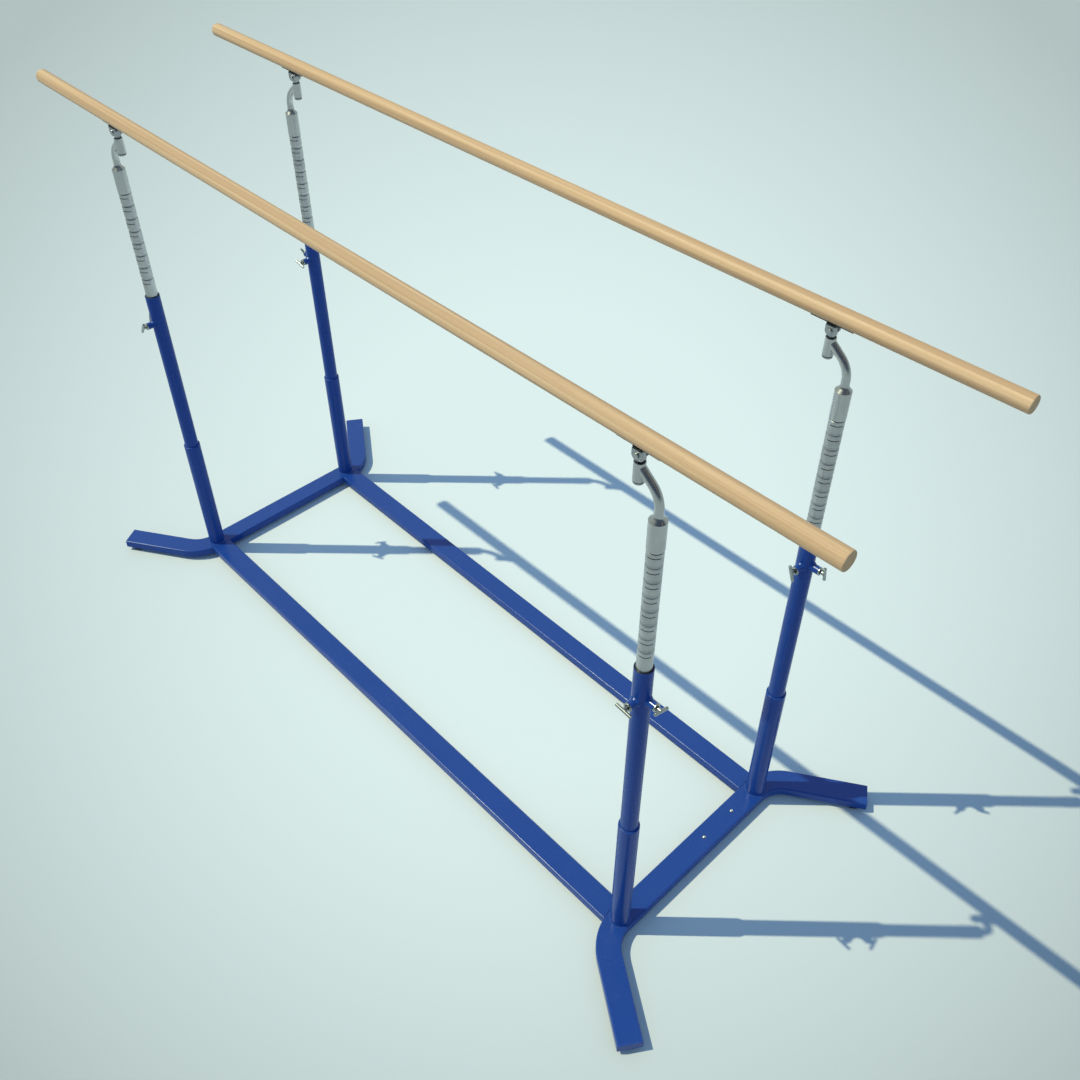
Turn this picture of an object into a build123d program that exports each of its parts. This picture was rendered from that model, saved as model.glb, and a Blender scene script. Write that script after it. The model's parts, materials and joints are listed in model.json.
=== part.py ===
from build123d import *
import math
import os

# Gymnastic parallel bars: two wooden bars on four telescopic uprights over a
# flat steel base. X runs along the bars, Y from the front bar to the back bar,
# Z up. The origin is on the floor, under the middle of the apparatus.
# All lengths are millimetres.

os.makedirs("parts", exist_ok=True)

# ---- driving dimensions ---------------------------------------------------

BAR_LENGTH = 3500.0
BAR_RADIUS = 25.0
BAR_AXIS_Z = 2067.0
BAR_END_ROUND = 4.0

UPRIGHT_X = 1278.0          # column axis from the middle, along the bars
UPRIGHT_Y = 365.0           # column axis from the middle, across the bars
ECCENTRICITY = 67.0         # bar head axis from the column axis
HEAD_X = UPRIGHT_X - ECCENTRICITY

# base: flat rectangular tube
FRAME_WIDTH = 85.0
FRAME_HEIGHT = 35.0
FRAME_WALL = 3.0
FRAME_EDGE = 4.5
FOOT_HEIGHT = 17.5
FOOT_RADIUS = 35.0
FOOT_FROM_LEG_END = 45.0
LEG_BEND_RADIUS = 150.0
LEG_SPLAY = 56.5            # degrees away from the cross tube's direction
LEG_STRAIGHT = 285.0        # end of the bend to the leg's tip
CAP_PLATE = 3.0
CAP_PLUG = 15.0
FOOT_SCREW_RADIUS = 4.0
FOOT_SCREW_HEAD_RADIUS = 7.0
FOOT_SCREW_HEAD = (3.0, 7.0)        # from and to, above the floor
FOOT_RECESS_RADIUS = 9.0
DECK_SCREW_Y = (73.0, 228.0)
DECK_SCREW_RADIUS = 4.0
DECK_HEAD_RADIUS = 7.0
DECK_HEAD_HEIGHT = 4.0
RAIL_BOLT_RADIUS = 5.0
RAIL_BOLT_HEAD_RADIUS = 9.0
RAIL_BOLT_HEAD = 6.4
SPIGOT_LENGTH = 120.0
SPIGOT_PLAY = 0.2
SPIGOT_WALL = 4.0

# columns
LOWER_RADIUS = 33.5
LOWER_TOP = 618.0
FOOT_WELD = 4.0
POST_RADIUS = 28.0
POST_BORE = 24.5
POST_BOTTOM = 440.0
POST_TOP = 1350.0
BUSH_LENGTH = 60.0
BUSH_FLANGE = 1.6            # thickness of its flange, on the post's rim
BUSH_FLANGE_RADIUS = 27.0

# clamp screws
SCREW_Z = 1230.0
BOSS_RADIUS = 13.0
BOSS_END = 51.0             # from the column axis
BOSS_WELD_RADIUS = 18.0      # of the weld's cone where it leaves the post's bore
BOSS_WELD_LENGTH = 8.5
COLLAR_RADIUS = 13.5
COLLAR_BORE = 8.0
COLLAR_LENGTH = 5.0
STUD_RADIUS = 5.0
STUD_TIP = 23.0             # from the column axis, screw backed off
HANDLE_REACH = 70.0         # cross handle's axis from the column axis
HANDLE_LENGTH = 55.0
HANDLE_RADIUS = 5.0
HUB_RADIUS = 7.0
HUB_LENGTH = 9.0

# pistons
PISTON_RADIUS = 22.5
PISTON_BORE = 14.0
PISTON_BOTTOM = 900.0
PISTON_SHOULDER = 1773.7
SPIGOT_RADIUS = 16.0        # pivot on the piston's top
SPIGOT_TOP = 1850.0
SHOULDER_CHAMFER = 2.2
HEIGHT_STEP = 50.0
LOWEST_MARK = 1409.0
MARK_COUNT = 8
MARK_HEIGHT = 2.8
MARK_DEPTH = 2.2
MARK_ARC = 94.0
MARK_CENTRE = -55.0         # degrees, seen from above, from +X
GROOVE_ABOVE_MARK = 21.0
GROOVE_DEPTH = 1.9
GROOVE_CUTTER = 10.0
RING_RADIUS = 24.45
RING_LENGTH = 40.0
RING_SEAT_RADIUS = 19.0

# goosenecks
SLEEVE_RADIUS = 23.5
SLEEVE_BOTTOM = 1774.0
SLEEVE_TOP = 1864.0
CONE_TOP = 1873.5
ROD_RADIUS = 12.0
BEND_START = 1894.4
BEND_RADIUS = 80.0
BEND_ANGLE = 50.0
SOCKET_RADIUS = 15.0
SOCKET_BORE = 13.2
SOCKET_BOTTOM = 1944.5
SOCKET_TOP = 1998.0
LINER_FLANGE = 3.0
LINER_FLANGE_RADIUS = 14.5
LINER_BELOW_RIM = 1.5

# bar heads
STEM_RADIUS = 8.0
TONGUE_BOTTOM = 2003.0
TONGUE_WIDTH = 22.0
TONGUE_THICKNESS = 17.4
PIN_Z = 2022.0
PIN_RADIUS = 5.0
PIN_HEAD_RADIUS = 8.0
PIN_HEAD_LENGTH = 3.5
PIN_TAIL = 6.0
CLIP_RADIUS = 7.0
CLIP_LENGTH = 1.2
CHEEK_RADIUS = 14.5
CHEEK_OUTER_Y = 15.0
CHEEK_INNER_Y = 9.0
SLOT_TRAVEL = 10.0          # lengthwise play of the left-hand heads
CHEEK_EXTENSION = 6.0       # how much longer their cheeks are
PLATE_LENGTH = 130.0
PLATE_WIDTH = 24.0
PLATE_THICKNESS = 3.0
FORK_ROOT = 5.5             # solid block between the plate and the cheeks
PLATE_SCREW_X = (-55.0, -40.0, 40.0, 55.0)
STEM_CAP_RADIUS = 14.0
STEM_CAP_LENGTH = 5.0

# fits
RUNNING_FIT = 0.05          # radial, between parts that turn or slide
GAP = 0.3                   # between faces of parts that move past each other

# ---- derived --------------------------------------------------------------

FRAME_TOP = FOOT_HEIGHT + FRAME_HEIGHT
FRAME_MID_Z = FOOT_HEIGHT + FRAME_HEIGHT / 2
SPLAY = math.radians(LEG_SPLAY)
BEND_TANGENT = LEG_BEND_RADIUS * math.tan(SPLAY / 2)
BEND_CORNER_Y = UPRIGHT_Y - 4.0 + BEND_TANGENT
RAIL_END_X = UPRIGHT_X - FRAME_WIDTH / 2
RAIL_BOLT_X = RAIL_END_X - SPIGOT_LENGTH / 2
PLATE_TOP = BAR_AXIS_Z - math.sqrt(BAR_RADIUS**2 - (PLATE_WIDTH / 2) ** 2)
PLATE_BOTTOM = PLATE_TOP - PLATE_THICKNESS

# name: (side along X, side along Y)
CORNERS = {
    "front_right": (1, -1),
    "back_right": (1, 1),
    "front_left": (-1, -1),
    "back_left": (-1, 1),
}
# how each clamp screw's cross handle is left standing, degrees from level
FRONT_HANDLE_ANGLE = {
    "front_right": 172,
    "back_right": 110,
    "front_left": 59,
    "back_left": 165,
}
SIDE_HANDLE_ANGLE = {
    "front_right": 162,
    "back_right": 101,
    "front_left": 102,
    "back_left": 60,
}

UPWARD = (Align.CENTER, Align.CENTER, Align.MIN)


# ---- helpers --------------------------------------------------------------


def rod(radius, z_low, z_high):
    """Upright cylinder on the local Z axis."""
    return Pos(0, 0, z_low) * Cylinder(radius, z_high - z_low, align=UPWARD)


def pipe(outer, inner, z_low, z_high):
    """Upright tube on the local Z axis."""
    return rod(outer, z_low, z_high) - rod(inner, z_low, z_high)


def block(x_low, x_high, y_low, y_high, z_low, z_high):
    """Box between two corners."""
    size = Box(x_high - x_low, y_high - y_low, z_high - z_low)
    return Pos((x_low + x_high) / 2, (y_low + y_high) / 2, (z_low + z_high) / 2) * size


def rims(shape, *heights):
    """Circular edges of an upright shape at the given heights."""
    edges = shape.edges().filter_by(GeomType.CIRCLE)
    return [e for e in edges if any(abs(e.center().Z - z) < 0.01 for z in heights)]


def at_corner(corner, shape):
    """Put a part that is made on the column's axis onto its column."""
    side_x, side_y = CORNERS[corner]
    return Pos(side_x * UPRIGHT_X, side_y * UPRIGHT_Y, 0) * shape


def facing_middle(corner, shape):
    """The same, with the local +X axis turned towards the apparatus' middle."""
    side_x, side_y = CORNERS[corner]
    turn = 180 if side_x > 0 else 0
    return Pos(side_x * UPRIGHT_X, side_y * UPRIGHT_Y, 0) * Rot(0, 0, turn) * shape


def at_head(corner, shape):
    """Put a part that is made on the bar head's axis onto its head."""
    side_x, side_y = CORNERS[corner]
    return Pos(side_x * HEAD_X, side_y * UPRIGHT_Y, 0) * shape


def screw_seats(corner):
    """The two places of a column's clamp screws: axis out of the column is local +X."""
    side_x, _ = CORNERS[corner]
    outward = 0 if side_x > 0 else 180
    return {
        "front": Pos(0, 0, SCREW_Z) * Rot(0, 0, -90),
        "side": Pos(0, 0, SCREW_Z) * Rot(0, 0, outward),
    }


def lying(radius, x_low, x_high):
    """Cylinder along the local X axis."""
    length = x_high - x_low
    return Pos((x_low + x_high) / 2, 0, 0) * Rot(0, 90, 0) * Cylinder(radius, length)


def write(name, *solids):
    """One STEP file for one node."""
    flat = [s for shape in solids for s in shape.solids()]
    export_step(Compound(children=flat) if len(flat) > 1 else flat[0], f"parts/{name}.step")


# ---- base -----------------------------------------------------------------


def leg_tip(side_y, back_from_tip=0.0):
    """Point on a right-hand leg's centre line, and the leg's direction."""
    run = BEND_TANGENT + LEG_STRAIGHT - back_from_tip
    x = UPRIGHT_X + run * math.sin(SPLAY)
    y = side_y * (BEND_CORNER_Y + run * math.cos(SPLAY))
    return x, y, math.degrees(math.atan2(side_y * math.cos(SPLAY), math.sin(SPLAY)))


def frame_section(width, height, edge, plane):
    """Rounded rectangle of the flat tube, across the given plane's normal."""
    return plane * RectangleRounded(width, height, edge)


def end_frame_path():
    """Centre line of the right-hand end frame: straight between the columns, both ends bent out."""
    front_x, front_y, _ = leg_tip(-1, CAP_PLATE)
    back_x, back_y, _ = leg_tip(1, CAP_PLATE)
    corners = [
        (front_x, front_y, FRAME_MID_Z),
        (UPRIGHT_X, -BEND_CORNER_Y, FRAME_MID_Z),
        (UPRIGHT_X, BEND_CORNER_Y, FRAME_MID_Z),
        (back_x, back_y, FRAME_MID_Z),
    ]
    return FilletPolyline(*corners, radius=LEG_BEND_RADIUS)


def across_start(path):
    """Plane across the path's first point, with its own Y axis upright."""
    along = path % 0
    return Plane(origin=path @ 0, x_dir=Vector(0, 0, 1).cross(along), z_dir=along)


def end_frame():
    """Right-hand end frame: one flat tube."""
    path = end_frame_path()
    plane = across_start(path)
    outer = sweep(frame_section(FRAME_WIDTH, FRAME_HEIGHT, FRAME_EDGE, plane), path)
    inside = 2 * FRAME_WALL
    hollow = frame_section(
        FRAME_WIDTH - inside, FRAME_HEIGHT - inside, FRAME_EDGE - FRAME_WALL, plane
    )
    frame = outer - sweep(hollow, path)
    for side_y in (-1, 1):
        x, y, _ = leg_tip(side_y, FOOT_FROM_LEG_END)
        frame -= Pos(x, y, 0) * rod(FOOT_SCREW_RADIUS, FOOT_HEIGHT - 1, FOOT_HEIGHT + 10)
    return frame


def deck_screw():
    """Dome-headed screw through the cross tube's top wall."""
    ball = (DECK_HEAD_RADIUS**2 + DECK_HEAD_HEIGHT**2) / (2 * DECK_HEAD_HEIGHT)
    centre_z = FRAME_TOP + DECK_HEAD_HEIGHT - ball
    dome = (Pos(0, 0, centre_z) * Sphere(ball)) & rod(DECK_HEAD_RADIUS, FRAME_TOP, FRAME_TOP + 10)
    socket = Pos(0, 0, FRAME_TOP + 2) * extrude(RegularPolygon(2.9, 6), 6)
    shank = rod(DECK_SCREW_RADIUS, FRAME_TOP - 14, FRAME_TOP)
    return dome - socket + shank


def leg_cap(side_y):
    """Plug and end plate that close one right-hand leg."""
    x, y, heading = leg_tip(side_y)
    to_leg = Pos(x, y, FRAME_MID_Z) * Rot(0, 0, heading)
    face = Plane.YZ * RectangleRounded(FRAME_WIDTH, FRAME_HEIGHT, FRAME_EDGE)
    inside = 2 * FRAME_WALL
    plug_face = Plane.YZ * RectangleRounded(
        FRAME_WIDTH - inside, FRAME_HEIGHT - inside, FRAME_EDGE - FRAME_WALL
    )
    plate = Pos(-CAP_PLATE, 0, 0) * extrude(face, CAP_PLATE)
    plug = Pos(-CAP_PLATE - CAP_PLUG, 0, 0) * extrude(plug_face, CAP_PLUG)
    plate = chamfer(plate.edges().group_by(Axis.X)[-1], 1.0)
    return to_leg * (plate + plug)


def foot(side_y):
    """Round rubber foot under a right-hand leg, with a recess for its screw."""
    x, y, _ = leg_tip(side_y, FOOT_FROM_LEG_END)
    body = rod(FOOT_RADIUS, 0, FOOT_HEIGHT)
    body = fillet(rims(body, 0), 2.0)
    head_top = FOOT_SCREW_HEAD[1]
    body -= rod(FOOT_RECESS_RADIUS, 0, head_top)
    body -= rod(FOOT_SCREW_RADIUS, head_top, FOOT_HEIGHT)
    return Pos(x, y, 0) * body


def foot_screw(side_y):
    """Screw that holds a foot to the leg's lower wall."""
    x, y, _ = leg_tip(side_y, FOOT_FROM_LEG_END)
    low, high = FOOT_SCREW_HEAD
    screw = rod(FOOT_SCREW_HEAD_RADIUS, low, high) + rod(FOOT_SCREW_RADIUS, high, FOOT_HEIGHT + 6)
    return Pos(x, y, 0) * screw


def mirrored_pair(maker):
    """Front and back copies for the right-hand end, then the same turned to the left."""
    right = [maker(-1), maker(1)]
    return right + [Rot(0, 0, 180) * shape for shape in right]


def rail_notch():
    """Square-edged sweep along the right-hand end frame, for cutting the rails' ends to fit it."""
    path = end_frame_path()
    return sweep(across_start(path) * Rectangle(FRAME_WIDTH, FRAME_HEIGHT + 2), path)


def rail(side_y, notch):
    """Long flat tube between the two end frames, its ends cut to their bends."""
    section = Plane.YZ * RectangleRounded(FRAME_WIDTH, FRAME_HEIGHT, FRAME_EDGE)
    inside = 2 * FRAME_WALL
    hollow = Plane.YZ * RectangleRounded(
        FRAME_WIDTH - inside, FRAME_HEIGHT - inside, FRAME_EDGE - FRAME_WALL
    )
    uncut = RAIL_END_X + 12
    tube = extrude(section - hollow, 2 * uncut)
    tube = Pos(-uncut, side_y * UPRIGHT_Y, FRAME_MID_Z) * tube
    tube = tube - notch - Rot(0, 0, 180) * notch
    for side_x in (-1, 1):
        hole = rod(RAIL_BOLT_RADIUS, FOOT_HEIGHT - 1, FOOT_HEIGHT + FRAME_WALL + 1)
        tube -= Pos(side_x * RAIL_BOLT_X, side_y * UPRIGHT_Y, 0) * hole
    return tube


def rail_spigot(side_y):
    """Stub on the right-hand end frame that the rail is pushed over."""
    shrink = 2 * FRAME_WALL + 2 * SPIGOT_PLAY
    width = FRAME_WIDTH - shrink
    height = FRAME_HEIGHT - shrink
    wall = 2 * SPIGOT_WALL
    section = RectangleRounded(width, height, FRAME_EDGE - FRAME_WALL)
    section -= RectangleRounded(width - wall, height - wall, 1.0)
    stub = extrude(Plane.YZ * section, SPIGOT_LENGTH)
    stub = Pos(RAIL_END_X - SPIGOT_LENGTH, side_y * UPRIGHT_Y, FRAME_MID_Z) * stub
    hole = rod(RAIL_BOLT_RADIUS, FOOT_HEIGHT, FOOT_HEIGHT + 12)
    return stub - Pos(RAIL_BOLT_X, side_y * UPRIGHT_Y, 0) * hole


def rail_bolt(side_y):
    """Bolt from below through the rail's lower wall into the stub."""
    head = extrude(RegularPolygon(RAIL_BOLT_HEAD_RADIUS, 6), RAIL_BOLT_HEAD)
    head = Pos(0, 0, FOOT_HEIGHT - RAIL_BOLT_HEAD) * head
    shank = rod(RAIL_BOLT_RADIUS, FOOT_HEIGHT, FOOT_HEIGHT + 10)
    return Pos(RAIL_BOLT_X, side_y * UPRIGHT_Y, 0) * (head + shank)


def build_base():
    """Everything that lies flat: frames, rails, feet and their fasteners."""
    frame = end_frame()
    screw_places = [Pos(UPRIGHT_X, y, 0) for y in DECK_SCREW_Y]
    drilled = frame
    for place in screw_places:
        drilled -= place * rod(DECK_SCREW_RADIUS, FRAME_TOP - 5, FRAME_TOP + 1)
    write("end_frame_right", drilled)
    write("end_frame_left", Rot(0, 0, 180) * frame)
    write("deck_screws", *[place * deck_screw() for place in screw_places])
    notch = rail_notch()
    write("rail_front", rail(-1, notch))
    write("rail_back", rail(1, notch))
    write("rail_spigots", *mirrored_pair(rail_spigot))
    write("rail_bolts", *mirrored_pair(rail_bolt))
    write("leg_caps", *mirrored_pair(leg_cap))
    write("rubber_feet", *mirrored_pair(foot))
    write("foot_screws", *mirrored_pair(foot_screw))


# ---- columns --------------------------------------------------------------


def lower_column():
    """Wide tube that stands on the end frame, with the weld round its foot."""
    tube = pipe(LOWER_RADIUS, POST_RADIUS, FRAME_TOP, LOWER_TOP)
    outer_rim = [e for e in rims(tube, LOWER_TOP) if e.radius > POST_RADIUS + 1]
    tube = fillet(outer_rim, 2.5)
    weld = Cone(LOWER_RADIUS + FOOT_WELD, LOWER_RADIUS, FOOT_WELD, align=UPWARD)
    weld = Pos(0, 0, FRAME_TOP) * weld - rod(LOWER_RADIUS - 1, FRAME_TOP, FRAME_TOP + FOOT_WELD)
    return tube + weld


def screw_boss():
    """Boss for one clamp screw, on the local X axis, with the weld round its root."""
    straight = lying(BOSS_RADIUS, POST_BORE + 1, BOSS_END)
    weld = Cone(BOSS_WELD_RADIUS, BOSS_RADIUS, BOSS_WELD_LENGTH)
    weld = Pos(POST_BORE + BOSS_WELD_LENGTH / 2, 0, 0) * Rot(0, 90, 0) * weld
    return straight + weld


def post(corner):
    """Narrow tube that the piston slides in, with the bosses of its two clamp screws."""
    body = rod(POST_RADIUS, POST_BOTTOM, POST_TOP)
    seats = screw_seats(corner).values()
    for seat in seats:
        body += seat * screw_boss()
    body -= rod(POST_BORE, POST_BOTTOM, POST_TOP)
    for seat in seats:
        body -= seat * lying(STUD_RADIUS + RUNNING_FIT, 10, BOSS_END + 1)
    return chamfer(rims(body, POST_TOP), 1.0)


def guide_bush():
    """Flanged bush in the top of the post that the piston runs in."""
    bore = PISTON_RADIUS + RUNNING_FIT
    flange_top = POST_TOP + BUSH_FLANGE
    flange = pipe(BUSH_FLANGE_RADIUS, bore, POST_TOP, flange_top)
    rim = [e for e in rims(flange, flange_top) if e.radius > bore + 1]
    return fillet(rim, 0.8) + pipe(POST_BORE, bore, POST_TOP - BUSH_LENGTH, POST_TOP)


def boss_collar():
    """Plain ring on the boss's end."""
    end = BOSS_END + COLLAR_LENGTH
    ring = lying(COLLAR_RADIUS, BOSS_END, end) - lying(COLLAR_BORE, BOSS_END, end)
    outer = [e for e in ring.edges().filter_by(GeomType.CIRCLE) if e.radius > COLLAR_BORE + 1]
    return fillet(outer, 1.2)


def clamp_screw(handle_angle):
    """Stud, hub and cross handle in one piece, on the local X axis."""
    nose = Cone(STUD_RADIUS, 3.0, 3.0)
    nose = Pos(STUD_TIP + 1.5, 0, 0) * Rot(0, -90, 0) * nose
    stud = lying(STUD_RADIUS, STUD_TIP + 3, HANDLE_REACH - 2) + nose
    hub = lying(HUB_RADIUS, HANDLE_REACH - HUB_LENGTH, HANDLE_REACH)
    bar = Cylinder(HANDLE_RADIUS, HANDLE_LENGTH)
    bar = fillet(bar.edges().filter_by(GeomType.CIRCLE), 1.5)
    bar = Pos(HANDLE_REACH, 0, 0) * Rot(handle_angle - 90, 0, 0) * bar
    return stud + hub + bar


def build_columns():
    """Four columns with their bushes, collars and clamp screws."""
    bushes = []
    collars = []
    for corner in CORNERS:
        write(f"column_{corner}", at_corner(corner, lower_column()))
        write(f"post_{corner}", at_corner(corner, post(corner)))
        bushes.append(at_corner(corner, guide_bush()))
        angles = {"front": FRONT_HANDLE_ANGLE[corner], "side": SIDE_HANDLE_ANGLE[corner]}
        for name, seat in screw_seats(corner).items():
            collars.append(at_corner(corner, seat * boss_collar()))
            screw = at_corner(corner, seat * clamp_screw(angles[name]))
            write(f"{name}_clamp_{corner}", screw)
    write("guide_bushes", *bushes)
    write("boss_collars", *collars)


# ---- pistons --------------------------------------------------------------


def groove_cutter(z):
    """Round-bottomed groove all the way round the piston."""
    centre = PISTON_RADIUS - GROOVE_DEPTH + GROOVE_CUTTER
    return Pos(0, 0, z) * Torus(centre, GROOVE_CUTTER)


def mark_cutter(z):
    """Narrow height mark, cut over part of the way round."""
    outer = PISTON_RADIUS + 1
    face = Plane.XZ * Pos(PISTON_RADIUS - MARK_DEPTH, 0) * Rectangle(
        outer - PISTON_RADIUS + MARK_DEPTH, MARK_HEIGHT, align=(Align.MIN, Align.CENTER)
    )
    arc = revolve(face, Axis.Z, MARK_ARC)
    return Pos(0, 0, z) * Rot(0, 0, MARK_CENTRE - MARK_ARC / 2) * arc


def piston():
    """Hollow rod, marked at every height step with a groove between the marks, and a pivot on top."""
    body = rod(PISTON_RADIUS, PISTON_BOTTOM, PISTON_SHOULDER)
    body = chamfer(rims(body, PISTON_SHOULDER), SHOULDER_CHAMFER)
    body += rod(SPIGOT_RADIUS, PISTON_SHOULDER - 1, SPIGOT_TOP)
    body = chamfer(rims(body, SPIGOT_TOP), 1.5)
    body -= rod(PISTON_BORE, PISTON_BOTTOM, PISTON_SHOULDER - 20)
    ring_seat = pipe(PISTON_RADIUS + 5, RING_SEAT_RADIUS, PISTON_BOTTOM, PISTON_BOTTOM + RING_LENGTH)
    body -= ring_seat
    marks = [LOWEST_MARK + step * HEIGHT_STEP for step in range(MARK_COUNT)]
    for z in marks:
        body -= mark_cutter(z)
    for z in marks[:-1]:
        body -= groove_cutter(z + GROOVE_ABOVE_MARK)
    return body


def piston_ring():
    """Glide ring at the piston's lower end."""
    return pipe(RING_RADIUS, RING_SEAT_RADIUS, PISTON_BOTTOM, PISTON_BOTTOM + RING_LENGTH)


def build_pistons():
    """The same piston stands in every post."""
    rod_part = piston()
    ring = piston_ring()
    for corner in CORNERS:
        write(f"piston_{corner}", at_corner(corner, rod_part))
        write(f"piston_ring_{corner}", at_corner(corner, ring))


# ---- goosenecks -----------------------------------------------------------


def sleeve():
    """Sleeve with a conical shoulder, turned about Z."""
    bore = SPIGOT_RADIUS + RUNNING_FIT
    bore_top = SPIGOT_TOP + 2
    neck_low = (ROD_RADIUS + 3, CONE_TOP)
    neck_high = (ROD_RADIUS, CONE_TOP + 12)
    outline = Polyline(
        (0, neck_high[1]),
        (0, bore_top),
        (bore, bore_top),
        (bore, SLEEVE_BOTTOM),
        (SLEEVE_RADIUS - SHOULDER_CHAMFER, SLEEVE_BOTTOM),
        (SLEEVE_RADIUS, SLEEVE_BOTTOM + SHOULDER_CHAMFER),
        (SLEEVE_RADIUS, SLEEVE_TOP),
        neck_low,
    )
    outline += ThreePointArc(neck_low, (ROD_RADIUS + 0.8, CONE_TOP + 5), neck_high)
    outline += Line(neck_high, (0, neck_high[1]))
    return revolve(Plane.XZ * make_face(outline), Axis.Z)


def gooseneck():
    """Sleeve, bent rod and head socket in one piece; the rod leans towards local +X."""
    angle = math.radians(BEND_ANGLE)
    reach = BEND_RADIUS * (1 - math.cos(angle))
    rise = BEND_RADIUS * math.sin(angle)
    straight = (ECCENTRICITY - reach) / math.sin(angle)
    bend_end = (reach, BEND_START + rise)
    rod_end = (ECCENTRICITY, BEND_START + rise + straight * math.cos(angle))
    lift = Line((0, SLEEVE_TOP), (0, BEND_START))
    bend = JernArc((0, BEND_START), (0, 1), BEND_RADIUS, -BEND_ANGLE)
    path = Plane.XZ * (lift + bend + Line(bend_end, rod_end))
    bent = sweep(Plane(origin=(0, 0, SLEEVE_TOP)) * Circle(ROD_RADIUS), path)
    socket = Pos(ECCENTRICITY, 0, 0) * rod(SOCKET_RADIUS, SOCKET_BOTTOM, SOCKET_TOP)
    bore = Pos(ECCENTRICITY, 0, 0) * rod(SOCKET_BORE, SOCKET_BOTTOM - 5, SOCKET_TOP + 60)
    return sleeve() + bent + socket - bore


def socket_liner():
    """Flanged plastic bush pressed into the socket from below."""
    bore = STEM_RADIUS + RUNNING_FIT
    top = SOCKET_TOP - LINER_BELOW_RIM
    bush = pipe(SOCKET_BORE, bore, SOCKET_BOTTOM, top)
    flange = pipe(LINER_FLANGE_RADIUS, bore, SOCKET_BOTTOM - LINER_FLANGE, SOCKET_BOTTOM)
    return Pos(ECCENTRICITY, 0, 0) * (bush + flange)


def build_goosenecks():
    """One gooseneck and liner on every piston, leaning towards the middle."""
    neck = gooseneck()
    liner = socket_liner()
    for corner in CORNERS:
        write(f"gooseneck_{corner}", facing_middle(corner, neck))
        write(f"socket_liner_{corner}", facing_middle(corner, liner))


# ---- bar heads ------------------------------------------------------------


def cheek_outline(radius, extra):
    """Round-ended outline about the pin, lengthened towards -X."""
    outline = Circle(radius)
    if extra:
        outline += Pos(-extra, 0) * Circle(radius)
        outline += Pos(-extra / 2, 0) * Rectangle(extra, 2 * radius)
    return outline


def through_y(outline, y_low, y_high):
    """Push an outline drawn in XZ about the pin from one Y to another."""
    return Pos(0, y_high, PIN_Z) * extrude(Plane.XZ * outline, y_high - y_low)


def bracket(travel, extension):
    """Plate under the bar with a fork, whose two cheeks hold the hinge pin."""
    half = PLATE_LENGTH / 2
    plate = block(-half, half, -PLATE_WIDTH / 2, PLATE_WIDTH / 2, PLATE_BOTTOM, PLATE_TOP)
    root_z = PLATE_BOTTOM - FORK_ROOT
    cheek_end = CHEEK_RADIUS + extension
    root = block(-cheek_end, CHEEK_RADIUS, -CHEEK_OUTER_Y, CHEEK_OUTER_Y, root_z, PLATE_BOTTOM)
    shape = plate + chamfer(root.edges().filter_by(Axis.Z), 2.0)
    for y_low, y_high in ((-CHEEK_OUTER_Y, -CHEEK_INNER_Y), (CHEEK_INNER_Y, CHEEK_OUTER_Y)):
        shape += through_y(cheek_outline(CHEEK_RADIUS, extension), y_low, y_high)
        shape += block(-cheek_end, CHEEK_RADIUS, y_low, y_high, PIN_Z, root_z)
    hole_radius = PIN_RADIUS + (GAP if travel else 0)
    shape -= through_y(cheek_outline(hole_radius, travel), -CHEEK_OUTER_Y, CHEEK_OUTER_Y)
    for x in PLATE_SCREW_X:
        shape -= Pos(x, 0, 0) * bar_screw()
    return shape


def bar_screw():
    """Countersunk wood screw, head flush with the plate's underside."""
    head_height = 3.0
    head = Cone(5.0, 2.5, head_height, align=UPWARD)
    shank = rod(2.5, PLATE_BOTTOM + head_height, PLATE_TOP + 25)
    return Pos(0, 0, PLATE_BOTTOM) * head + shank


def stem():
    """Round stem with the tongue that sits between the cheeks."""
    neck = rod(STEM_RADIUS, SOCKET_BOTTOM - LINER_FLANGE - GAP - STEM_CAP_LENGTH, TONGUE_BOTTOM + 1)
    half_x = TONGUE_WIDTH / 2
    half_y = TONGUE_THICKNESS / 2
    tongue = block(-half_x, half_x, -half_y, half_y, TONGUE_BOTTOM, PIN_Z)
    tongue = chamfer(tongue.edges().group_by(Axis.Z)[0], 2.0)
    tongue += through_y(Circle(half_x), -half_y, half_y)
    return neck + tongue - through_y(Circle(PIN_RADIUS), -half_y, half_y)


def stem_cap():
    """Domed cap that keeps the stem in its socket."""
    top = SOCKET_BOTTOM - LINER_FLANGE - GAP
    cap = pipe(STEM_CAP_RADIUS, STEM_RADIUS, top - STEM_CAP_LENGTH, top)
    outer = [e for e in rims(cap, top - STEM_CAP_LENGTH) if e.radius > STEM_RADIUS + 1]
    return fillet(outer, 2.0)


def hinge_pin():
    """Headed pin across the cheeks, head at the front, held by a clip at the back."""
    head_y = CHEEK_OUTER_Y + GAP
    shank = through_y(Circle(PIN_RADIUS), -head_y, CHEEK_OUTER_Y + PIN_TAIL)
    head = through_y(Circle(PIN_HEAD_RADIUS), -head_y - PIN_HEAD_LENGTH, -head_y)
    head = fillet(head.edges().group_by(Axis.Y)[0], 1.0)
    clip = through_y(Circle(CLIP_RADIUS), head_y, head_y + CLIP_LENGTH)
    return shank + head + clip


def build_heads():
    """Brackets, stems and pins. The left-hand brackets are slotted lengthwise."""
    for corner, (side_x, _) in CORNERS.items():
        travel, extension = (SLOT_TRAVEL, CHEEK_EXTENSION) if side_x < 0 else (0.0, 0.0)
        write(f"bracket_{corner}", at_head(corner, bracket(travel, extension)))
        write(f"head_stem_{corner}", at_head(corner, stem()), at_head(corner, stem_cap()))
        write(f"hinge_pin_{corner}", at_head(corner, hinge_pin()))


# ---- bars -----------------------------------------------------------------


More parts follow.
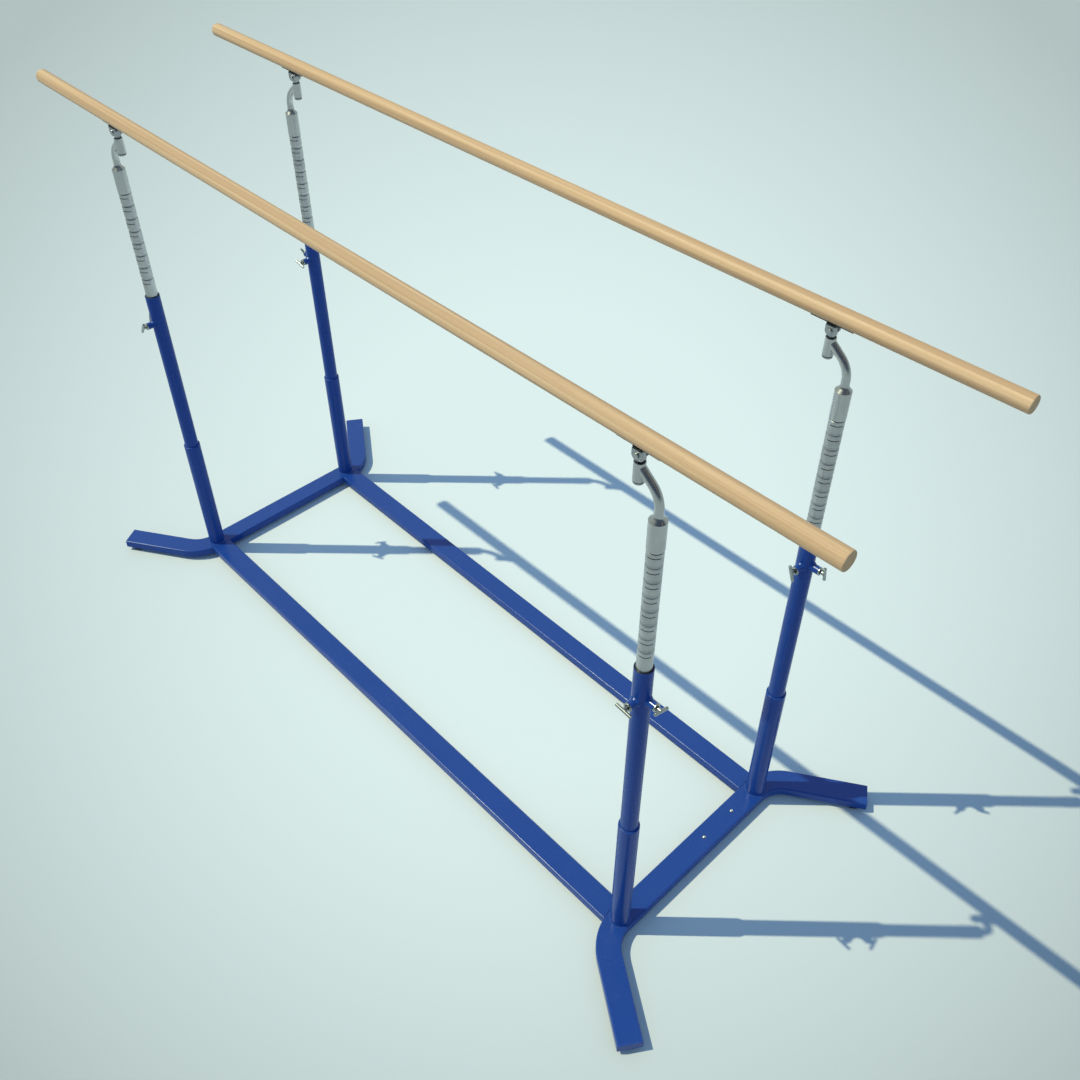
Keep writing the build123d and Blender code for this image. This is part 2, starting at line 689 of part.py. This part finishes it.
def bar(side_y):
    """Round wooden bar, with a flat seat and screw holes over each head."""
    stick = lying(BAR_RADIUS, -BAR_LENGTH / 2, BAR_LENGTH / 2)
    stick = fillet(stick.edges().filter_by(GeomType.CIRCLE), BAR_END_ROUND)
    stick = Pos(0, 0, BAR_AXIS_Z) * stick
    half = PLATE_LENGTH / 2
    for x in (-HEAD_X, HEAD_X):
        seat = block(-half, half, -BAR_RADIUS, BAR_RADIUS, PLATE_TOP - 10, PLATE_TOP)
        stick -= Pos(x, 0, 0) * seat
        for screw_x in PLATE_SCREW_X:
            stick -= Pos(x + screw_x, 0, 0) * rod(2.5, PLATE_TOP - 1, PLATE_TOP + 25)
    return Pos(0, side_y * UPRIGHT_Y, 0) * stick


def build_bars():
    """Front and back bar, each with the eight screws of its two plates."""
    screw_x = [head_x + x for head_x in (-HEAD_X, HEAD_X) for x in PLATE_SCREW_X]
    for name, side_y in (("front", -1), ("back", 1)):
        write(f"bar_{name}", bar(side_y))
        screws = [Pos(x, side_y * UPRIGHT_Y, 0) * bar_screw() for x in screw_x]
        write(f"bar_screws_{name}", *screws)


build_base()
build_columns()
build_pistons()
build_goosenecks()
build_heads()
build_bars()
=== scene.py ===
import json
import math

import bmesh
import bpy
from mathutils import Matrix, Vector


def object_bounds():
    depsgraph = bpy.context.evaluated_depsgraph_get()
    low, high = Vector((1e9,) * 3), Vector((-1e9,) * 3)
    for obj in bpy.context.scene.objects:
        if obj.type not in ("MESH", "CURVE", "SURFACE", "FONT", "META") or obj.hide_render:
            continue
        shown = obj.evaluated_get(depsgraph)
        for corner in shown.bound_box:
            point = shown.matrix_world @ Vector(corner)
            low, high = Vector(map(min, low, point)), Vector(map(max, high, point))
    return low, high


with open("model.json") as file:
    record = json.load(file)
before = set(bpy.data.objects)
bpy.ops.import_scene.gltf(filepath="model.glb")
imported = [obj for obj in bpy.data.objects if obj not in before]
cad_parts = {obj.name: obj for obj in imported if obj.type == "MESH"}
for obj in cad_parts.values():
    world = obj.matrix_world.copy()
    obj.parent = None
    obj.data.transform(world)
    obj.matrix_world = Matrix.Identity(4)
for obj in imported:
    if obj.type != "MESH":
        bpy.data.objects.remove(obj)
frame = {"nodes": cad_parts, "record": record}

CAD_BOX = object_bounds()

# ---- stage ----------------------------------------------------------------

CAMERA_PLACE = (2.421, -1.8306, 3.5457)
CAMERA_HEADING = 136.286        # degrees from +X, seen from above
CAMERA_DIP = 41.017             # degrees below level
CAMERA_LENS = 36.47             # on a 36 mm wide sensor
CAMERA_SHIFT_Y = -0.0438

SUN_TRAVEL = (0.458, 0.460, -1.0)
SUN_COLOUR = (0.95, 0.98, 0.71)
SUN_STRENGTH = 2.95
SUN_ANGLE = 0.5                 # degrees; softens the shadows' edges
SKY_COLOUR = (0.21, 0.365, 0.60)
MIRRORED_DARK = (0.052, 0.078, 0.125)       # what shiny parts see above and behind the camera
MIRRORED_PALE = (0.46, 0.54, 0.50)          # and what they see beyond the object
DARK_POLE = (0.49, -0.59, 0.64)             # direction of the dark side's middle
DARK_EDGE = (-0.10, 0.50)                   # cosines from the pole: fully pale, fully dark
BACKDROP_COLOUR = (0.46, 0.55, 0.55)
FLOOR_COLOUR = (0.76, 0.78, 0.755)
FLOOR_SIZE = 60.0
LIGHT_POOL_CENTRE = (-0.28, 0.75, 0.0)            # the painted pool of light is brightest here
LIGHT_POOL_EDGE = 0.61                            # the painted light's brightness far outside the pool


def aimed(obj, direction):
    """Turn a camera or lamp to look along a direction."""
    obj.rotation_mode = "QUATERNION"
    obj.rotation_quaternion = Vector(direction).to_track_quat("-Z", "Y")
    bpy.context.scene.collection.objects.link(obj)


def make_camera():
    """The camera, at the photograph's viewing angle."""
    data = bpy.data.cameras.new("camera")
    data.lens = CAMERA_LENS
    data.shift_y = CAMERA_SHIFT_Y
    data.clip_end = 100
    camera = bpy.data.objects.new("camera", data)
    camera.location = CAMERA_PLACE
    heading = math.radians(CAMERA_HEADING)
    dip = math.radians(CAMERA_DIP)
    level = math.cos(dip)
    aimed(camera, (math.cos(heading) * level, math.sin(heading) * level, -math.sin(dip)))
    bpy.context.scene.camera = camera


def make_light():
    """One key light, high on the left."""
    data = bpy.data.lights.new("key", "SUN")
    data.energy = SUN_STRENGTH
    data.color = SUN_COLOUR
    data.angle = math.radians(SUN_ANGLE)
    aimed(bpy.data.objects.new("key", data), SUN_TRAVEL)


def make_world():
    """An even sky, which shiny parts see as a pale far side and a dark side behind the camera."""
    world = bpy.data.worlds.new("studio")
    world.use_nodes = True
    tree = world.node_tree
    tree.nodes.clear()
    link = tree.links.new
    direction = tree.nodes.new("ShaderNodeTexCoord")
    towards = tree.nodes.new("ShaderNodeVectorMath")
    towards.operation = "DOT_PRODUCT"
    towards.inputs[1].default_value = DARK_POLE
    link(direction.outputs["Generated"], towards.inputs[0])
    fade = tree.nodes.new("ShaderNodeMapRange")
    fade.interpolation_type = "SMOOTHSTEP"
    for socket, edge in zip(("From Min", "From Max"), DARK_EDGE):
        fade.inputs[socket].default_value = edge
    link(towards.outputs["Value"], fade.inputs["Value"])
    mirrored = tree.nodes.new("ShaderNodeMix")
    mirrored.data_type = "RGBA"
    mirrored.inputs[6].default_value = (*MIRRORED_PALE, 1)
    mirrored.inputs[7].default_value = (*MIRRORED_DARK, 1)
    link(fade.outputs["Result"], mirrored.inputs[0])
    rays = tree.nodes.new("ShaderNodeLightPath")
    seen = (*SKY_COLOUR, 1)
    for ray, colour in (("Is Glossy Ray", mirrored.outputs[2]), ("Is Camera Ray", (*BACKDROP_COLOUR, 1))):
        choice = tree.nodes.new("ShaderNodeMix")
        choice.data_type = "RGBA"
        link(rays.outputs[ray], choice.inputs[0])
        for socket, value in ((choice.inputs[6], seen), (choice.inputs[7], colour)):
            if isinstance(value, tuple):
                socket.default_value = value
            else:
                link(value, socket)
        seen = choice.outputs[2]
    sky = tree.nodes.new("ShaderNodeBackground")
    link(seen, sky.inputs["Color"])
    output = tree.nodes.new("ShaderNodeOutputWorld")
    link(sky.outputs[0], output.inputs["Surface"])
    bpy.context.scene.world = world


# ---- node helpers ---------------------------------------------------------


class Finish:
    """One material being built. Textures are placed by the frame's own coordinates, in metres."""

    def __init__(self, name, **shader_values):
        self.material = bpy.data.materials.new(name)
        self.material.use_nodes = True
        self.tree = self.material.node_tree
        self.shader = self.tree.nodes["Principled BSDF"]
        self.place = self.add("ShaderNodeTexCoord").outputs["Object"]
        for socket, value in shader_values.items():
            self.shader.inputs[socket.replace("_", " ")].default_value = value

    def add(self, kind, **settings):
        """A new node, with its settings."""
        node = self.tree.nodes.new(kind)
        for key, value in settings.items():
            setattr(node, key, value)
        return node

    def feed(self, socket, value):
        """Link an output to the socket, or set a plain value on it."""
        if isinstance(value, bpy.types.NodeSocket):
            self.tree.links.new(value, socket)
        else:
            socket.default_value = value

    def math(self, operation, first, second=0.0):
        """Result of one operation on two values."""
        node = self.add("ShaderNodeMath", operation=operation)
        self.feed(node.inputs[0], first)
        self.feed(node.inputs[1], second)
        return node.outputs[0]

    def axis(self, letter, place=None):
        """One coordinate of a place."""
        node = self.add("ShaderNodeSeparateXYZ")
        self.feed(node.inputs[0], place or self.place)
        return node.outputs[letter]

    def scaled(self, scale):
        """The place, with each axis multiplied."""
        node = self.add("ShaderNodeVectorMath", operation="MULTIPLY")
        self.feed(node.inputs[0], self.place)
        self.feed(node.inputs[1], scale)
        return node.outputs[0]

    def noise(self, scale, detail=3.0, roughness=0.5, distortion=0.0):
        """Noise with its own number of cells per metre along X, Y and Z."""
        node = self.add("ShaderNodeTexNoise")
        self.feed(node.inputs["Vector"], self.scaled(scale))
        node.inputs["Scale"].default_value = 1.0
        node.inputs["Detail"].default_value = detail
        node.inputs["Roughness"].default_value = roughness
        node.inputs["Distortion"].default_value = distortion
        return node.outputs["Fac"]

    def remap(self, value, low, high, to_low=0.0, to_high=1.0):
        """Clamped linear map from one range to another."""
        node = self.add("ShaderNodeMapRange")
        self.feed(node.inputs["Value"], value)
        limits = (low, high, to_low, to_high)
        for socket, limit in zip(("From Min", "From Max", "To Min", "To Max"), limits):
            node.inputs[socket].default_value = limit
        return node.outputs["Result"]

    def mix(self, amount, first, second):
        """Colour between two colours."""
        node = self.add("ShaderNodeMix", data_type="RGBA")
        self.feed(node.inputs[0], amount)
        self.feed(node.inputs[6], first if not isinstance(first, tuple) else (*first, 1))
        self.feed(node.inputs[7], second if not isinstance(second, tuple) else (*second, 1))
        return node.outputs[2]

    def edges(self, radius, samples=4):
        """1 on edges sharper than the radius, 0 on flat and gently curved faces."""
        soft = self.add("ShaderNodeBevel", samples=samples)
        soft.inputs["Radius"].default_value = radius
        sharp = self.add("ShaderNodeNewGeometry")
        dot = self.add("ShaderNodeVectorMath", operation="DOT_PRODUCT")
        self.feed(dot.inputs[0], soft.outputs[0])
        self.feed(dot.inputs[1], sharp.outputs["Normal"])
        return self.remap(dot.outputs["Value"], 0.99, 0.80)

    def scratches(self, scale, share=0.10):
        """Thin broken lines: where a stretched noise crosses its middle value."""
        lines = self.noise(scale, detail=2.0)
        near = self.math("ABSOLUTE", self.math("SUBTRACT", lines, 0.5))
        thin = self.remap(near, 0.0, 0.012, 1.0, 0.0)
        broken = self.noise((9.0, 9.0, 9.0), detail=2.0)
        return self.math("MULTIPLY", thin, self.remap(broken, 0.62 - share, 0.70 - share))

    def relief(self, *layers):
        """Bump from (height, distance in metres) layers, one on top of the other."""
        below = None
        for height, distance in layers:
            node = self.add("ShaderNodeBump")
            node.inputs["Strength"].default_value = 1.0
            node.inputs["Distance"].default_value = distance
            self.feed(node.inputs["Height"], height)
            if below:
                self.feed(node.inputs["Normal"], below)
            below = node.outputs[0]
        self.feed(self.shader.inputs["Normal"], below)

    def colour(self, value):
        self.feed(self.shader.inputs["Base Color"], value)

    def roughness(self, value):
        self.feed(self.shader.inputs["Roughness"], value)


# ---- materials ------------------------------------------------------------


def joint_place(name):
    """Where a joint of the record has its axis, in metres."""
    joints = frame["record"]["behaviour"]["joints"]
    return next(joint["pos_m"] for joint in joints if joint["name"] == name)


UPRIGHT_X, UPRIGHT_Y = (abs(value) for value in joint_place("width_front")[:2])
PISTON_RADIUS = 0.0225
WAIST_RADIUS = 0.0203           # a little less than the radius at the grooves' bottom
FIRST_MARK_Z = 1.409            # one of the pistons' height marks
MARK_STEP = 0.050
BAR_END_X = CAD_BOX[1][0]
FORK_ROOT_Z = 2.0366            # underside of the brackets' solid root, where the painted shade under the bar ends


def blue_paint():
    """Sprayed enamel with a faint orange peel, glossier on top, and lighter on the edges: partly rubbed
    thin, partly a painted highlight.
    """
    paint = Finish("blue_paint")
    upward = paint.axis("Z", paint.add("ShaderNodeNewGeometry").outputs["Normal"])
    paint.feed(paint.shader.inputs["Specular IOR Level"], paint.remap(upward, 0.2, 0.9, 0.15, 0.50))
    tone = paint.noise((2.3, 2.3, 2.3), detail=4.0)
    base = paint.mix(tone, (0.011, 0.051, 0.250), (0.015, 0.060, 0.278))
    dust = paint.noise((14.0, 14.0, 14.0), detail=6.0, roughness=0.65)
    base = paint.mix(paint.remap(dust, 0.56, 0.78, 0.0, 0.05), base, (0.11, 0.17, 0.34))
    rubbed = paint.edges(0.0022)
    # Lighter, patchy edges: paint rubbed thin, and also a painted highlight along the edges.
    worn = paint.math("MULTIPLY", rubbed, paint.noise((60.0, 60.0, 60.0), detail=4.0))
    base = paint.mix(paint.remap(worn, 0.18, 0.60, 0.0, 0.45), base, (0.09, 0.16, 0.42))
    marks = paint.scratches((35.0, 120.0, 60.0))
    base = paint.mix(paint.math("MULTIPLY", marks, 0.14), base, (0.10, 0.17, 0.42))
    paint.colour(base)
    haze = paint.noise((7.0, 7.0, 7.0), detail=5.0, roughness=0.6)
    dull = paint.remap(haze, 0.3, 0.75, 0.20, 0.32)
    dull = paint.math("ADD", dull, paint.math("MULTIPLY", rubbed, 0.30))
    paint.roughness(paint.math("ADD", dull, paint.math("MULTIPLY", marks, 0.15)))
    peel = paint.noise((420.0, 420.0, 420.0), detail=2.0)
    paint.relief((peel, 0.00004), (marks, -0.00002))
    return paint.material


def bar_wood():
    """Pale, straight-grained wood under a thin satin lacquer, with darker end grain."""
    wood = Finish("bar_wood", Specular_IOR_Level=0.22)
    slow = wood.noise((0.9, 16.0, 16.0), detail=3.0)
    streaks = wood.noise((2.2, 210.0, 210.0), detail=5.0, roughness=0.62, distortion=0.25)
    flecks = wood.noise((55.0, 900.0, 900.0), detail=2.0)
    rings = wood.add("ShaderNodeTexWave", wave_type="RINGS", rings_direction="X")
    wood.feed(rings.inputs["Vector"], wood.scaled((0.10, 1.0, 1.0)))
    rings.inputs["Scale"].default_value = 26.0
    rings.inputs["Distortion"].default_value = 1.6
    rings.inputs["Detail"].default_value = 2.0
    rings.inputs["Detail Scale"].default_value = 0.6
    tone = wood.mix(wood.remap(slow, 0.35, 0.65), (0.740, 0.462, 0.250), (0.795, 0.522, 0.302))
    stripes = wood.noise((0.45, 62.0, 62.0), detail=2.0)
    tone = wood.mix(wood.remap(stripes, 0.44, 0.58, 0.0, 0.90), tone, (0.560, 0.342, 0.192))
    tone = wood.mix(wood.remap(rings.outputs["Fac"], 0.2, 0.9, 0.0, 0.30), tone, (0.640, 0.370, 0.180))
    tone = wood.mix(wood.remap(streaks, 0.45, 0.72, 0.0, 0.38), tone, (0.570, 0.325, 0.155))
    pores = wood.remap(flecks, 0.60, 0.70)
    tone = wood.mix(wood.math("MULTIPLY", pores, 0.30), tone, (0.420, 0.260, 0.130))
    from_middle = wood.math("ABSOLUTE", wood.axis("X"))
    end = wood.remap(from_middle, BAR_END_X - 0.0012, BAR_END_X - 0.0003)
    pith = wood.remap(rings.outputs["Fac"], 0.1, 0.9)
    end_tone = wood.mix(pith, (0.700, 0.440, 0.230), (0.600, 0.365, 0.190))
    wood.colour(wood.mix(end, tone, end_tone))
    gloss = wood.remap(streaks, 0.3, 0.7, 0.46, 0.60)
    wood.roughness(wood.math("ADD", gloss, wood.math("MULTIPLY", end, 0.25)))
    wood.relief((streaks, 0.00010), (pores, -0.00008))
    return wood.material


def turned_steel(name, light, dark, rough, lines=1100.0, line_depth=0.00002):
    """Lathe-turned steel: fine rings across Z, faint stains and handling marks."""
    steel = Finish(name, Metallic=1.0)
    rings = steel.noise((3.0, 3.0, lines), detail=2.0)
    stain = steel.noise((22.0, 22.0, 14.0), detail=5.0, roughness=0.6)
    tone = steel.mix(steel.remap(stain, 0.35, 0.70), light, dark)
    bright = steel.edges(0.0012)
    tone = steel.mix(steel.math("MULTIPLY", bright, 0.5), tone, tuple(1.25 * c for c in light))
    steel.colour(tone)
    drag = steel.scratches((160.0, 160.0, 12.0), share=0.14)
    smear = steel.remap(stain, 0.3, 0.7, rough - 0.05, rough + 0.08)
    steel.roughness(steel.math("ADD", smear, steel.math("MULTIPLY", drag, 0.15)))
    steel.relief((rings, line_depth), (drag, -0.00001))
    return steel, tone


def piston_steel():
    """Ground piston; the cut height marks are dark and the waists are darker in patches."""
    steel, tone = turned_steel("piston_steel", (0.54, 0.55, 0.555), (0.465, 0.475, 0.485), 0.36)
    from_column_x = steel.math("SUBTRACT", steel.math("ABSOLUTE", steel.axis("X")), UPRIGHT_X)
    from_column_y = steel.math("SUBTRACT", steel.math("ABSOLUTE", steel.axis("Y")), UPRIGHT_Y)
    squares = [steel.math("MULTIPLY", d, d) for d in (from_column_x, from_column_y)]
    radius = steel.math("SQRT", steel.math("ADD", *squares))
    steps = steel.math("DIVIDE", steel.math("SUBTRACT", steel.axis("Z"), FIRST_MARK_Z), MARK_STEP)
    nearest = steel.math("ROUND", steps)
    off_mark = steel.math("ABSOLUTE", steel.math("SUBTRACT", steps, nearest))
    beside = steel.remap(off_mark, 0.036, 0.040, 1.0, 0.0)
    # The height marks are drawn dark, only inside their cut recesses.
    sunk = steel.remap(radius, PISTON_RADIUS - 0.00025, PISTON_RADIUS - 0.00015, 1.0, 0.0)
    mark = steel.math("MULTIPLY", beside, sunk)
    # The waists are drawn darker towards their deepest part, in patches.
    waist = steel.remap(radius, WAIST_RADIUS, PISTON_RADIUS - 0.0003, 0.34, 0.0)
    waist_darkening = steel.math("MULTIPLY", waist, steel.noise((90.0, 90.0, 90.0), detail=4.0))
    tone = steel.mix(waist_darkening, tone, (0.10, 0.11, 0.11))
    steel.colour(steel.mix(steel.math("MULTIPLY", mark, 0.85), tone, (0.05, 0.055, 0.06)))
    return steel.material


def neck_steel():
    """Bright-plated bent rod, sleeve and socket."""
    light, dark = (0.57, 0.58, 0.58), (0.50, 0.51, 0.51)
    return turned_steel("neck_steel", light, dark, 0.27, 500.0, 0.000008)[0].material


def head_steel():
    """Plated stems and hinge pins."""
    return turned_steel("head_steel", (0.50, 0.51, 0.52), (0.40, 0.415, 0.43), 0.30)[0].material


def clamp_steel():
    """Satin clamp screws, polished where hands turn them."""
    return turned_steel("clamp_steel", (0.47, 0.50, 0.49), (0.35, 0.38, 0.38), 0.32)[0].material


def collar_steel():
    """Plain turned rings on the bosses."""
    return turned_steel("collar_steel", (0.49, 0.51, 0.50), (0.38, 0.41, 0.41), 0.34)[0].material


def zinc_steel():
    """Zinc-plated fasteners with a patchy bloom."""
    zinc = Finish("zinc_steel", Metallic=1.0)
    bloom = zinc.noise((260.0, 260.0, 260.0), detail=5.0, roughness=0.6)
    tone = zinc.mix(zinc.remap(bloom, 0.35, 0.70), (0.62, 0.63, 0.62), (0.50, 0.52, 0.53))
    zinc.colour(zinc.mix(zinc.math("MULTIPLY", zinc.edges(0.0006), 0.6), tone, (0.78, 0.79, 0.79)))
    zinc.roughness(zinc.remap(bloom, 0.3, 0.7, 0.24, 0.42))
    zinc.relief((bloom, 0.00003))
    return zinc.material


def bracket_steel():
    """Plated steel, with the plate and fork root painted near-black as painted shade under the bar; all
    rubbed bright on the edges.
    """
    forged = Finish("bracket_steel", Metallic=1.0)
    skin = forged.noise((150.0, 150.0, 150.0), detail=5.0, roughness=0.6)
    patches = forged.remap(skin, 0.35, 0.70)
    plated = forged.mix(patches, (0.45, 0.47, 0.49), (0.34, 0.36, 0.38))
    # Painted shade: a near-black tone over everything above the fork root, where the bar's shadow falls.
    painted_shade_tone = forged.mix(patches, (0.030, 0.033, 0.038), (0.050, 0.054, 0.060))
    painted_shade_above_root = forged.remap(forged.axis("Z"), FORK_ROOT_Z - 0.0003, FORK_ROOT_Z)
    tone = forged.mix(painted_shade_above_root, plated, painted_shade_tone)
    worn = forged.math("MULTIPLY", forged.edges(0.0009), forged.noise((140.0, 140.0, 140.0)))
    forged.colour(forged.mix(forged.remap(worn, 0.30, 0.55), tone, (0.50, 0.52, 0.53)))
    forged.roughness(forged.remap(skin, 0.3, 0.7, 0.34, 0.50))
    forged.relief((skin, 0.00008))
    return forged.material


def primed_steel():
    """Dull dark primer on the hidden stubs."""
    primer = Finish("primed_steel")
    skin = primer.noise((210.0, 210.0, 210.0), detail=5.0, roughness=0.65)
    tone = primer.mix(primer.remap(skin, 0.35, 0.7), (0.048, 0.051, 0.056), (0.085, 0.088, 0.093))
    rubbed = primer.math("MULTIPLY", primer.edges(0.0015), primer.noise((80.0, 80.0, 80.0)))
    primer.colour(primer.mix(primer.remap(rubbed, 0.2, 0.5), tone, (0.30, 0.31, 0.32)))
    primer.roughness(primer.remap(skin, 0.3, 0.7, 0.55, 0.75))
    primer.relief((skin, 0.00005))
    return primer.material


def black_rubber():
    """Moulded rubber, grey with floor dust near its lower edge."""
    rubber = Finish("black_rubber", Specular_IOR_Level=0.35)
    grain = rubber.noise((700.0, 700.0, 700.0), detail=3.0)
    patches = rubber.noise((60.0, 60.0, 60.0), detail=4.0, roughness=0.6)
    low = rubber.remap(rubber.axis("Z"), 0.0, 0.009, 0.5, 0.0)
    tone = rubber.mix(rubber.remap(patches, 0.35, 0.7), (0.012, 0.012, 0.013), (0.024, 0.024, 0.025))
    rubber.colour(rubber.mix(rubber.math("MULTIPLY", low, patches), tone, (0.16, 0.16, 0.155)))
    rubber.roughness(rubber.remap(grain, 0.3, 0.7, 0.62, 0.82))
    rubber.relief((grain, 0.00008))
    return rubber.material


def black_plastic():
    """Machined bearing plastic, slightly polished by what slides on it."""
    plastic = Finish("black_plastic", Specular_IOR_Level=0.4)
    turned = plastic.noise((12.0, 12.0, 1500.0), detail=2.0)
    patches = plastic.noise((120.0, 120.0, 120.0), detail=4.0)
    tone = plastic.mix(plastic.remap(patches, 0.35, 0.7), (0.010, 0.013, 0.026), (0.018, 0.022, 0.040))
    plastic.colour(tone)
    plastic.roughness(plastic.remap(patches, 0.3, 0.7, 0.34, 0.50))
    plastic.relief((turned, 0.00002))
    return plastic.material


def floor_finish():
    """Plain pale matt floor with a faint grain, and a painted pool of light round the object, as seen from
    the camera.
    """
    floor = Finish("floor", Specular_IOR_Level=0.1, Roughness=0.9)
    # Painted light: the floor is brightest in a pool round the object and darker away from it, by the
    # direction from the camera.
    from_camera = floor.add("ShaderNodeVectorMath", operation="SUBTRACT")
    floor.feed(from_camera.inputs[0], floor.place)
    floor.feed(from_camera.inputs[1], CAMERA_PLACE)
    aim = floor.add("ShaderNodeVectorMath", operation="NORMALIZE")
    floor.feed(aim.inputs[0], from_camera.outputs[0])
    along = floor.add("ShaderNodeVectorMath", operation="DOT_PRODUCT")
    floor.feed(along.inputs[0], aim.outputs[0])
    floor.feed(along.inputs[1], (Vector(LIGHT_POOL_CENTRE) - Vector(CAMERA_PLACE)).normalized())
    painted_light_pool = floor.remap(along.outputs["Value"], 0.83, 0.98, LIGHT_POOL_EDGE, 1.0)
    grain = floor.remap(floor.noise((300.0, 300.0, 300.0)), 0.3, 0.7, 0.99, 1.0)
    painted_light_and_grain = floor.math("MULTIPLY", painted_light_pool, grain)
    floor.colour(floor.mix(painted_light_and_grain, (0.0, 0.0, 0.0), FLOOR_COLOUR))
    return floor.material


def make_floor():
    """A large flat sheet just under the feet."""
    mesh = bpy.data.meshes.new("floor")
    built = bmesh.new()
    bmesh.ops.create_grid(built, x_segments=12, y_segments=12, size=FLOOR_SIZE / 2)
    built.to_mesh(mesh)
    built.free()
    floor = bpy.data.objects.new("floor", mesh)
    bpy.context.scene.collection.objects.link(floor)
    floor.data.materials.append(floor_finish())


# ---- dressing the CAD nodes ----------------------------------------------

FINISHES = {
    "blue_paint": blue_paint,
    "bar_wood": bar_wood,
    "piston_chrome": piston_steel,
    "neck_chrome": neck_steel,
    "head_steel": head_steel,
    "clamp_steel": clamp_steel,
    "collar_steel": collar_steel,
    "zinc_steel": zinc_steel,
    "bracket_steel": bracket_steel,
    "primed_steel": primed_steel,
    "rubber_black": black_rubber,
    "plastic_black": black_plastic,
}


def dress_nodes():
    """Give every CAD node the finish of its material slot."""
    made = {slot: make() for slot, make in FINISHES.items()}
    for part in frame["record"]["subparts"]:
        node = frame["nodes"][part["node"]]
        for slot in node.material_slots:
            slot.material = made[part["material_slot"]]


# ---- the scene ------------------------------------------------------------

bpy.context.scene.view_settings.view_transform = "Standard"
make_camera()
make_light()
make_world()
make_floor()
dress_nodes()
